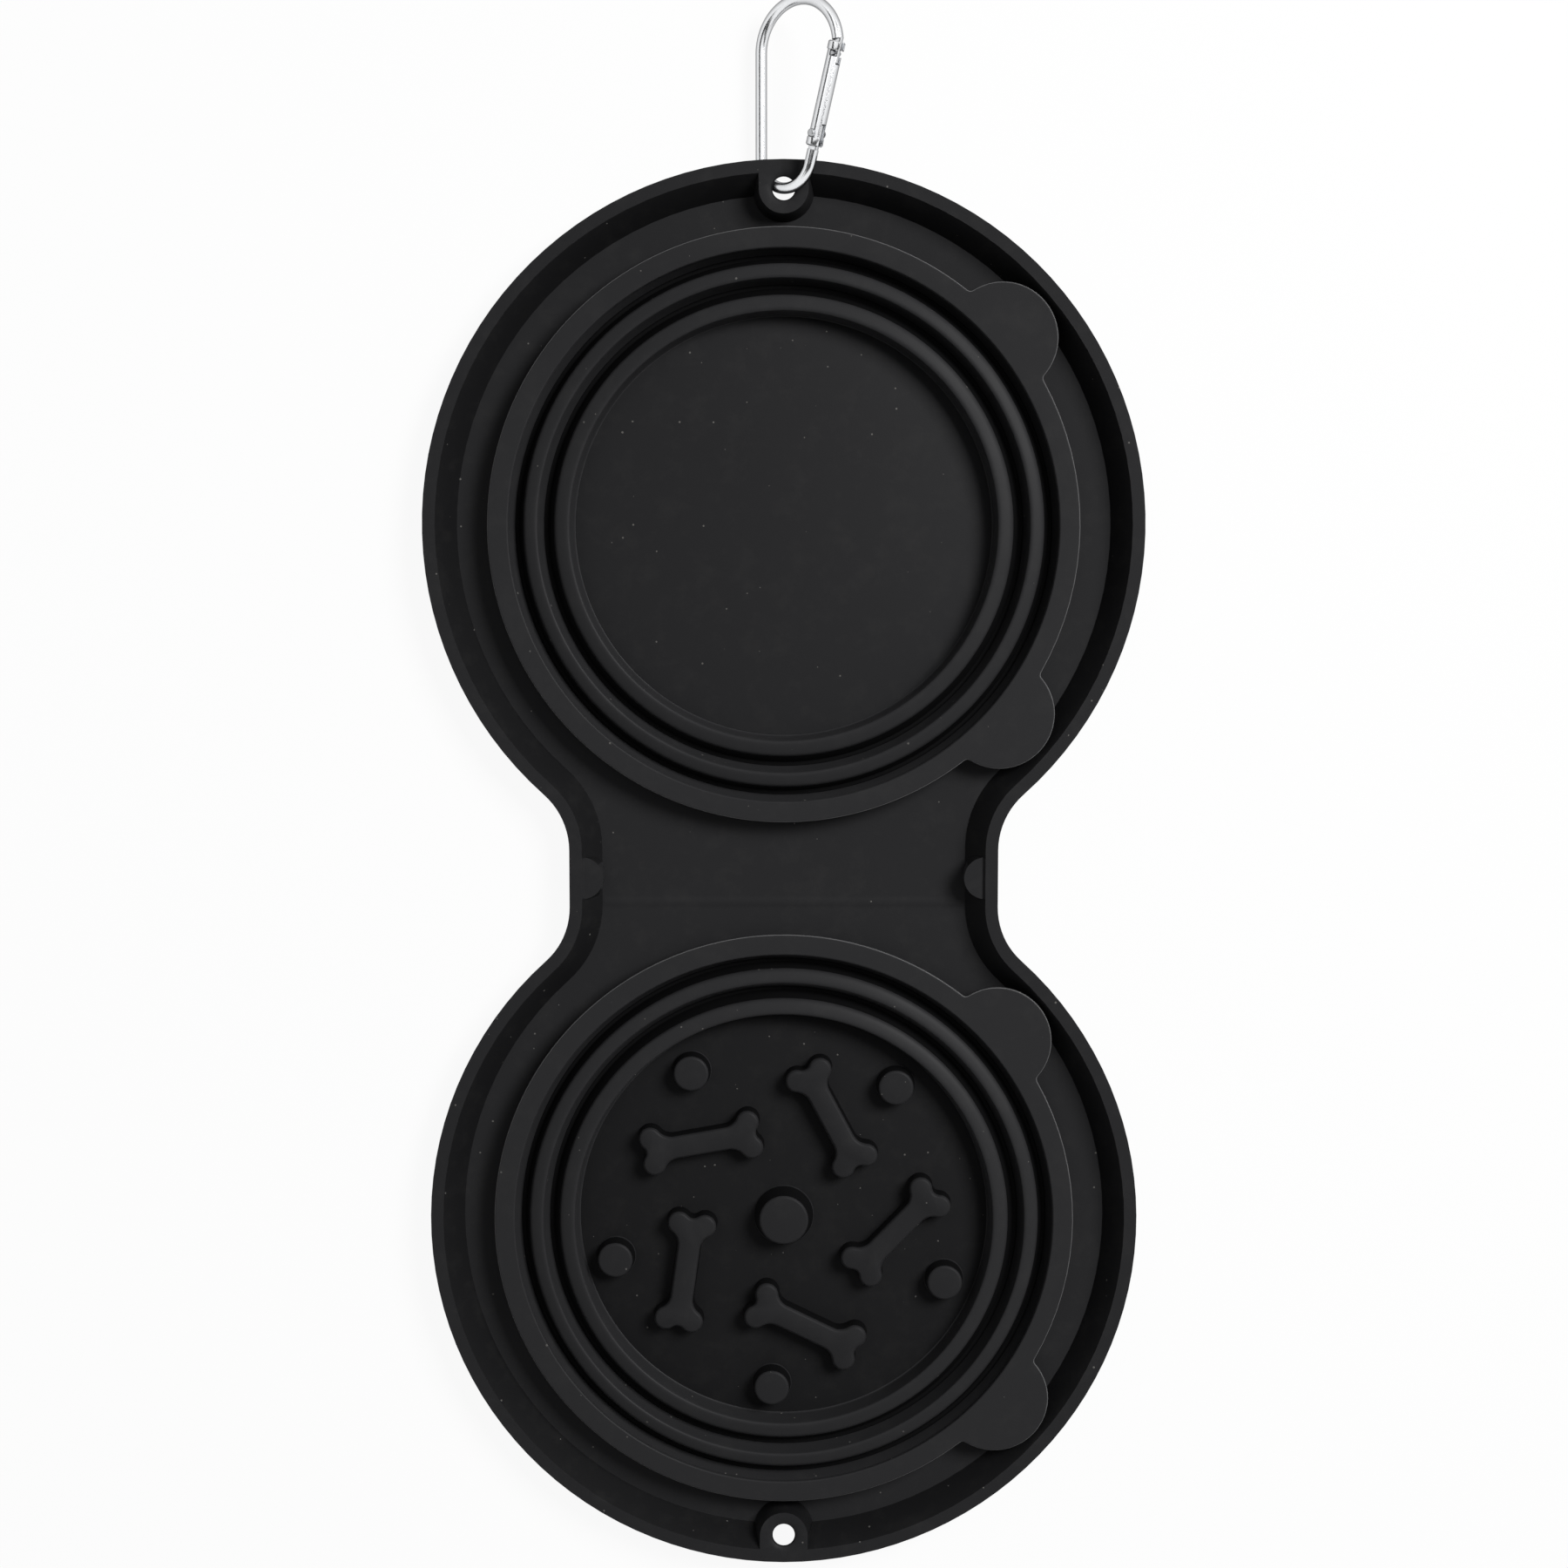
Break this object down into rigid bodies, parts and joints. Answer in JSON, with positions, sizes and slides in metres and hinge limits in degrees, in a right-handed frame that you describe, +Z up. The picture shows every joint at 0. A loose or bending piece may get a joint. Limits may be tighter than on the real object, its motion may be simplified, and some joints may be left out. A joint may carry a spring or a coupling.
{
  "type": "collapsible slow feeder bowl",
  "caption": "Folding figure-of-eight silicone pet tray with a pop-up water bowl, a pop-up slow feeder bowl with bones and studs, hanging lugs and a spring-gate carabiner.",
  "frame": {"origin": "middle of the fold spine's underside, on the surface the open tray rests on", "axes": "+Z up out of the bowls, +Y along the tray from the slow feeder to the water bowl, +X towards the side with the pull tabs"},
  "size_m": [0.19, 0.4174, 0.0206],
  "materials": {
    "silicone": "matte black moulded silicone",
    "polished_aluminium": "polished",
    "steel": "plain wire and pin"
  },
  "bodies": {
    "spine": {"fold_spine": "silicone", "left_gusset": "silicone", "right_gusset": "silicone"},
    "feeder_half": {"feeder_tray": "silicone", "feeder_bowl_base": "silicone", "feeder_lower_web": "silicone"},
    "water_half": {"water_tray": "silicone", "water_bowl_base": "silicone", "water_lower_web": "silicone"},
    "water_ring": {"water_middle_ring": "silicone", "water_upper_web": "silicone"},
    "water_rim": {"water_rim": "silicone"},
    "feeder_ring": {"feeder_middle_ring": "silicone", "feeder_upper_web": "silicone"},
    "feeder_rim": {"feeder_rim": "silicone"},
    "carabiner": {"carabiner_body": "polished_aluminium", "gate_latch_pin": "steel"},
    "gate": {"carabiner_gate": "polished_aluminium", "gate_pivot_pin": "steel", "gate_spring": "steel"}
  },
  "joints": [
    {"name": "feeder_fold", "type": "hinge", "parent": "spine", "child": "feeder_half", "pos_m": [0, -0.00725, 0.002], "axis": [-1, 0, 0], "range_deg": [0, 88.5], "deforming": ["left_gusset", "right_gusset"]},
    {"name": "water_fold", "type": "hinge", "parent": "spine", "child": "water_half", "pos_m": [0, 0.00725, 0.002], "axis": [1, 0, 0], "range_deg": [0, 88.5]},
    {"name": "water_lower_pop", "type": "slide", "parent": "water_half", "child": "water_ring", "axis": [0, 0, -1], "range_m": [-0.0097, 0], "deforming": ["water_lower_web"]},
    {"name": "water_upper_pop", "type": "slide", "parent": "water_ring", "child": "water_rim", "axis": [0, 0, -1], "range_m": [-0.0097, 0], "deforming": ["water_upper_web"]},
    {"name": "feeder_lower_pop", "type": "slide", "parent": "feeder_half", "child": "feeder_ring", "axis": [0, 0, -1], "range_m": [-0.0097, 0], "deforming": ["feeder_lower_web"]},
    {"name": "feeder_upper_pop", "type": "slide", "parent": "feeder_ring", "child": "feeder_rim", "axis": [0, 0, -1], "range_m": [-0.0097, 0], "deforming": ["feeder_upper_web"]},
    {"name": "carabiner_turn", "type": "hinge", "parent": "water_half", "child": "carabiner", "pos_m": [0, 0.1806, 0.0081], "axis": [0, -1, 0], "range_deg": [0, 104]},
    {"name": "gate_swing", "type": "hinge", "parent": "carabiner", "child": "gate", "pos_m": [0.00847, 0.1936, 0.01472], "axis": [-0.6157, 0, 0.788], "range_deg": [0, 28], "stiffness_Nm_per_rad": 0.02, "springref_deg": -17.19, "deforming": ["gate_spring"]}
  ],
  "couplings": [
    {"joint": "water_fold", "follows": "feeder_fold", "ratio": 1}
  ]
}
